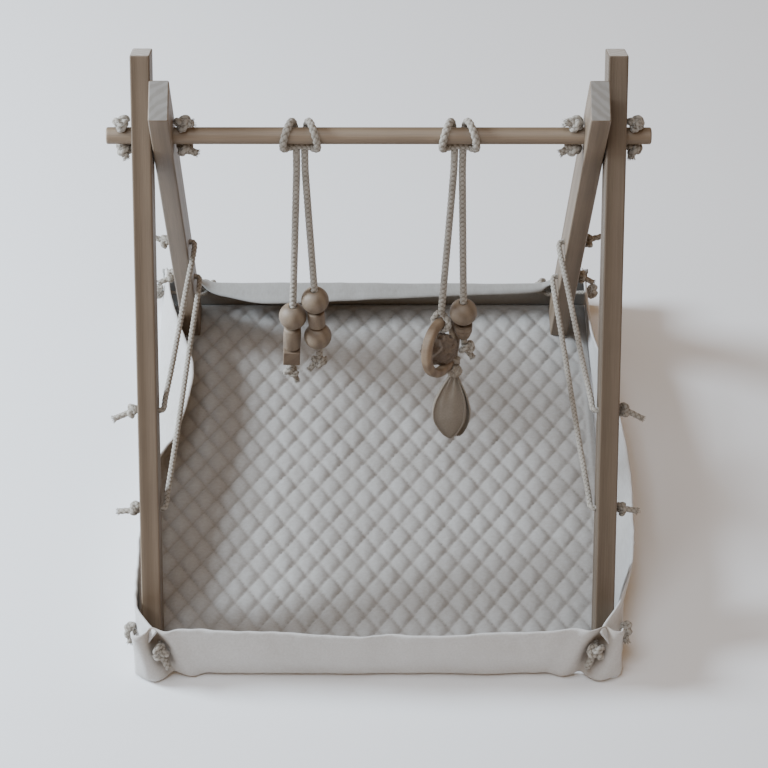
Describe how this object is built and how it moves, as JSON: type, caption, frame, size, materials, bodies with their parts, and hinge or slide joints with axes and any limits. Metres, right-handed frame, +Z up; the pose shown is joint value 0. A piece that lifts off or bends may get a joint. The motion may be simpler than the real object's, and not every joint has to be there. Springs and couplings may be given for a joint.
{
  "type": "baby play gym with walled mat",
  "caption": "Wooden A-frame baby play gym with sliding bead and ring toys on its crossbar, standing in a quilted floor mat with tied fabric walls.",
  "frame": {"origin": "on the floor, under the middle of the crossbar", "axes": "+Z up, +X along the crossbar to the right, +Y to the rear"},
  "size_m": [0.575, 0.6359, 0.604],
  "materials": {
    "pine": "planed and waxed",
    "turned_wood": "sanded smooth",
    "cotton_cord": "braided",
    "quilted_cotton": "quilted",
    "canvas": "plain weave",
    "leaf_cloth": "plain weave"
  },
  "bodies": {
    "mat": {"quilted_mat": "quilted_cotton", "front_border": "canvas", "rear_border": "canvas", "left_border": "canvas", "right_border": "canvas", "corner_tie_front_left": "cotton_cord", "corner_tie_front_right": "cotton_cord", "corner_tie_rear_left": "cotton_cord", "corner_tie_rear_right": "cotton_cord"},
    "crossbar": {"crossbar_dowel": "pine", "stop_cord_outer_left": "cotton_cord", "stop_cord_outer_right": "cotton_cord", "stop_cord_inner_left": "cotton_cord", "stop_cord_inner_right": "cotton_cord"},
    "left_rear_leg": {"rear_leg_left": "pine", "rear_leg_knots_left": "cotton_cord", "upper_spreader_left": "cotton_cord", "lower_spreader_left": "cotton_cord"},
    "left_front_leg": {"front_leg_left": "pine", "front_leg_knots_left": "cotton_cord"},
    "left_hitch": {"left_hitch": "cotton_cord"},
    "left_stem": {"left_stem": "cotton_cord"},
    "right_rear_leg": {"rear_leg_right": "pine", "rear_leg_knots_right": "cotton_cord", "upper_spreader_right": "cotton_cord", "lower_spreader_right": "cotton_cord"},
    "right_front_leg": {"front_leg_right": "pine", "front_leg_knots_right": "cotton_cord"},
    "right_hitch": {"right_hitch": "cotton_cord"},
    "right_stem": {"right_stem": "cotton_cord"},
    "left_strand_a": {"left_toy_strand_a": "cotton_cord", "left_toy_knot_a": "cotton_cord"},
    "left_strand_b": {"left_toy_strand_b": "cotton_cord", "left_toy_knot_b": "cotton_cord"},
    "right_strand_a": {"right_toy_strand_a": "cotton_cord", "right_toy_ring_loop": "cotton_cord"},
    "right_strand_b": {"right_toy_strand_b": "cotton_cord", "right_toy_knot": "cotton_cord"},
    "left_bead_round_a": {"left_bead_round_a": "turned_wood"},
    "left_bead_barrel": {"left_bead_barrel": "turned_wood"},
    "left_bead_cube": {"left_bead_cube": "turned_wood"},
    "left_bead_round_b": {"left_bead_round_b": "turned_wood"},
    "left_bead_drum": {"left_bead_drum": "turned_wood"},
    "left_bead_round_c": {"left_bead_round_c": "turned_wood"},
    "right_bead_round": {"right_bead_round": "turned_wood"},
    "right_bead_tapered": {"right_bead_tapered": "turned_wood"},
    "right_ring": {"right_toy_ring": "turned_wood", "right_toy_leaf_tie": "leaf_cloth"},
    "right_leaf": {"right_toy_leaf_front": "leaf_cloth", "right_toy_leaf_back": "leaf_cloth"}
  },
  "joints": [
    {"name": "frame_lift", "type": "slide", "parent": "mat", "child": "crossbar", "axis": [0, 0, 1], "range_m": [0, 0.125]},
    {"name": "left_rear_leg_fold", "type": "hinge", "parent": "crossbar", "child": "left_rear_leg", "pos_m": [-0.2269, 0, 0.515], "axis": [-1, 0, 0], "range_deg": [0, 24.1]},
    {"name": "left_front_leg_fold", "type": "hinge", "parent": "left_rear_leg", "child": "left_front_leg", "pos_m": [-0.2491, 0, 0.515], "axis": [1, 0, 0], "range_deg": [0, 48.2], "deforming": ["upper_spreader_left", "lower_spreader_left"]},
    {"name": "right_rear_leg_fold", "type": "hinge", "parent": "crossbar", "child": "right_rear_leg", "pos_m": [0.2269, 0, 0.515], "axis": [-1, 0, 0], "range_deg": [0, 24.1]},
    {"name": "right_front_leg_fold", "type": "hinge", "parent": "right_rear_leg", "child": "right_front_leg", "pos_m": [0.2491, 0, 0.515], "axis": [1, 0, 0], "range_deg": [0, 48.2], "deforming": ["upper_spreader_right", "lower_spreader_right"]},
    {"name": "left_hitch_slide", "type": "slide", "parent": "crossbar", "child": "left_hitch", "axis": [1, 0, 0], "range_m": [-0.08, 0.035]},
    {"name": "left_toy_swing", "type": "hinge", "parent": "left_hitch", "child": "left_stem", "pos_m": [-0.083, 0, 0.498], "axis": [1, 0, 0], "range_deg": [-45, 45]},
    {"name": "left_strand_a_swing", "type": "hinge", "parent": "left_stem", "child": "left_strand_a", "pos_m": [-0.0874, 0, 0.46], "axis": [0, 1, 0], "range_deg": [0, 10]},
    {"name": "left_strand_b_swing", "type": "hinge", "parent": "left_stem", "child": "left_strand_b", "pos_m": [-0.0786, 0, 0.46], "axis": [0, -1, 0], "range_deg": [0, 10]},
    {"name": "right_hitch_slide", "type": "slide", "parent": "crossbar", "child": "right_hitch", "axis": [1, 0, 0], "range_m": [-0.035, 0.08]},
    {"name": "right_toy_swing", "type": "hinge", "parent": "right_hitch", "child": "right_stem", "pos_m": [0.0847, 0, 0.498], "axis": [1, 0, 0], "range_deg": [-45, 45]},
    {"name": "right_strand_a_swing", "type": "hinge", "parent": "right_stem", "child": "right_strand_a", "pos_m": [0.0803, 0, 0.46], "axis": [0, 1, 0], "range_deg": [0, 10]},
    {"name": "right_strand_b_swing", "type": "hinge", "parent": "right_stem", "child": "right_strand_b", "pos_m": [0.0891, 0, 0.46], "axis": [0, -1, 0], "range_deg": [0, 10]},
    {"name": "left_bead_round_a_spin", "type": "hinge", "parent": "left_strand_a", "child": "left_bead_round_a", "pos_m": [-0.09475, 0, 0.2575], "axis": [0.0364, 0, 0.9993], "continuous": true},
    {"name": "left_bead_barrel_spin", "type": "hinge", "parent": "left_strand_a", "child": "left_bead_barrel", "pos_m": [-0.09591, 0, 0.2255], "axis": [0.0364, 0, 0.9993], "continuous": true},
    {"name": "left_bead_cube_spin", "type": "hinge", "parent": "left_strand_a", "child": "left_bead_cube", "pos_m": [-0.09685, 0, 0.1998], "axis": [0.0364, 0, 0.9993], "continuous": true},
    {"name": "left_bead_round_b_spin", "type": "hinge", "parent": "left_strand_b", "child": "left_bead_round_b", "pos_m": [-0.06976, 0, 0.2815], "axis": [-0.0497, 0, 0.9988], "continuous": true},
    {"name": "left_bead_drum_spin", "type": "hinge", "parent": "left_strand_b", "child": "left_bead_drum", "pos_m": [-0.06841, 0, 0.2545], "axis": [-0.0497, 0, 0.9988], "continuous": true},
    {"name": "left_bead_round_c_spin", "type": "hinge", "parent": "left_strand_b", "child": "left_bead_round_c", "pos_m": [-0.06707, 0, 0.2275], "axis": [-0.0497, 0, 0.9988], "continuous": true},
    {"name": "right_bead_round_spin", "type": "hinge", "parent": "right_strand_b", "child": "right_bead_round", "pos_m": [0.09556, 0, 0.2635], "axis": [-0.033, 0, 0.9995], "continuous": true},
    {"name": "right_bead_tapered_spin", "type": "hinge", "parent": "right_strand_b", "child": "right_bead_tapered", "pos_m": [0.09645, 0, 0.2365], "axis": [-0.033, 0, 0.9995], "continuous": true},
    {"name": "ring_swing", "type": "hinge", "parent": "right_strand_a", "child": "right_ring", "pos_m": [0.071, 0, 0.248], "axis": [0, 1, 0], "range_deg": [-4, 15]},
    {"name": "leaf_swing", "type": "hinge", "parent": "right_ring", "child": "right_leaf", "pos_m": [0.087, -0.0045, 0.178], "axis": [1, 0, 0], "range_deg": [-30, 30]}
  ],
  "couplings": [
    {"joint": "left_rear_leg_fold", "follows": "frame_lift", "rad_per_m": 3.351},
    {"joint": "left_front_leg_fold", "follows": "frame_lift", "rad_per_m": 6.7021},
    {"joint": "right_rear_leg_fold", "follows": "frame_lift", "rad_per_m": 3.351},
    {"joint": "right_front_leg_fold", "follows": "frame_lift", "rad_per_m": 6.7021}
  ]
}
